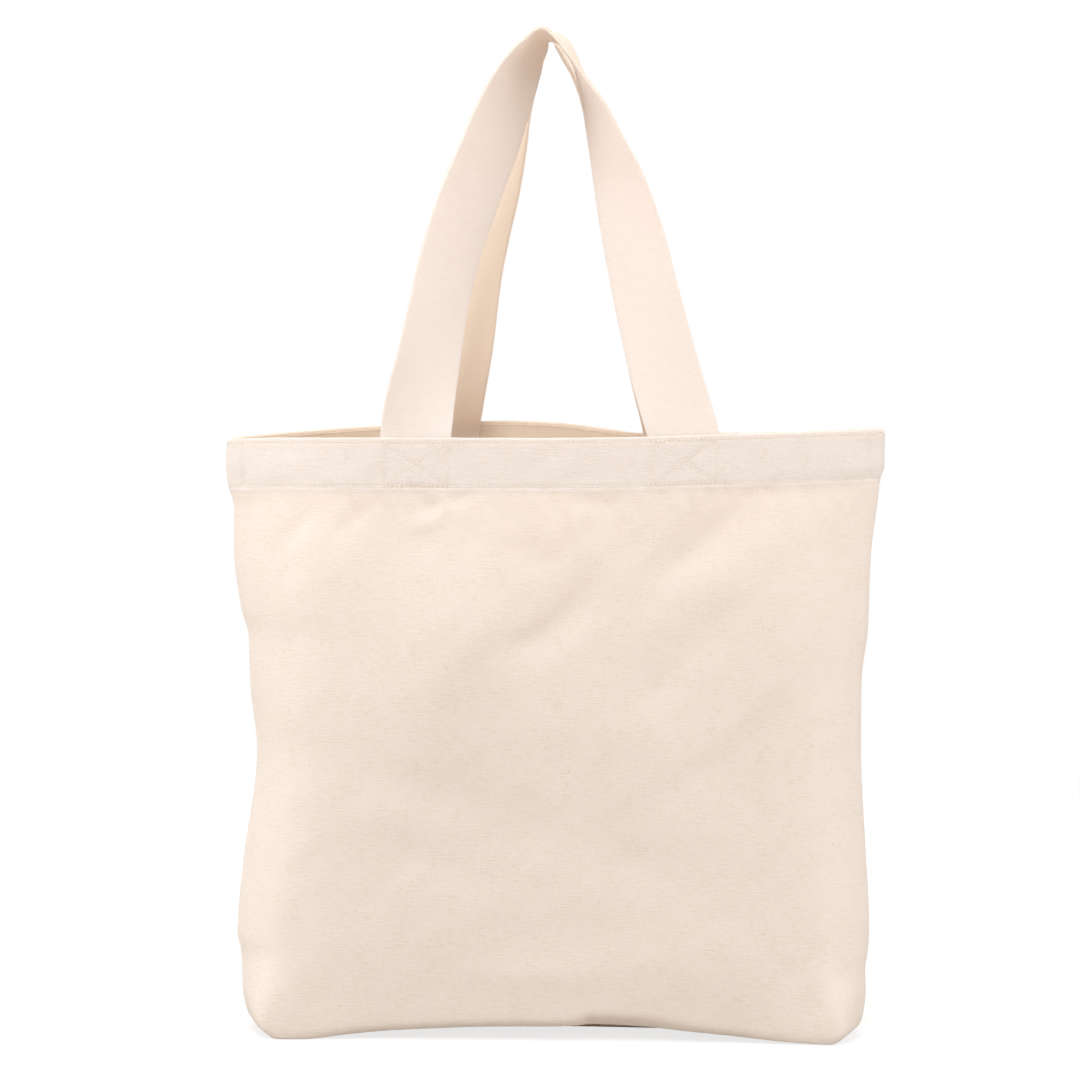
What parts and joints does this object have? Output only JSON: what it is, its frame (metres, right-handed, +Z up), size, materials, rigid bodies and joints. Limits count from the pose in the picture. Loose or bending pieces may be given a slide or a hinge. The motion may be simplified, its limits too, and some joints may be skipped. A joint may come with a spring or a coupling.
{
  "type": "canvas tote bag",
  "caption": "Open canvas tote bag with a boxed base, a turned-in hem and webbing handles sewn inside the rim with boxed cross stitching; the handles fold out over the rim.",
  "frame": {"origin": "middle of the base, on the surface that the bag stands on", "axes": "+Z up from the base to the handles, +Y from the front panel to the back panel, +X from the left side seam to the right one"},
  "size_m": [0.384, 0.1086, 0.586],
  "materials": {
    "canvas": "plain-woven unbleached cotton canvas, matt",
    "webbing": "ribbed cotton webbing, matt",
    "thread": "spun sewing thread, matt"
  },
  "bodies": {
    "bag": {"front_panel": "canvas", "back_panel": "canvas", "left_side_seam": "canvas", "right_side_seam": "canvas", "bottom_seam": "canvas", "left_corner_seam": "canvas", "right_corner_seam": "canvas", "front_handle_left_end": "webbing", "front_handle_right_end": "webbing", "front_left_box_stitching": "thread", "front_right_box_stitching": "thread", "front_hem_lower_stitching": "thread", "front_hem_upper_stitching": "thread", "back_handle_left_end": "webbing", "back_handle_right_end": "webbing", "back_left_box_stitching": "thread", "back_right_box_stitching": "thread", "back_hem_lower_stitching": "thread", "back_hem_upper_stitching": "thread"},
    "front_handle": {"front_handle_loop": "webbing"},
    "back_handle": {"back_handle_loop": "webbing"}
  },
  "joints": [
    {"name": "front_handle_fold", "type": "hinge", "parent": "bag", "child": "front_handle", "pos_m": [0, -0.0428, 0.3498], "axis": [1, 0, 0], "range_deg": [0, 170]},
    {"name": "back_handle_fold", "type": "hinge", "parent": "bag", "child": "back_handle", "pos_m": [0, 0.0428, 0.3498], "axis": [-1, 0, 0], "range_deg": [0, 170]}
  ]
}
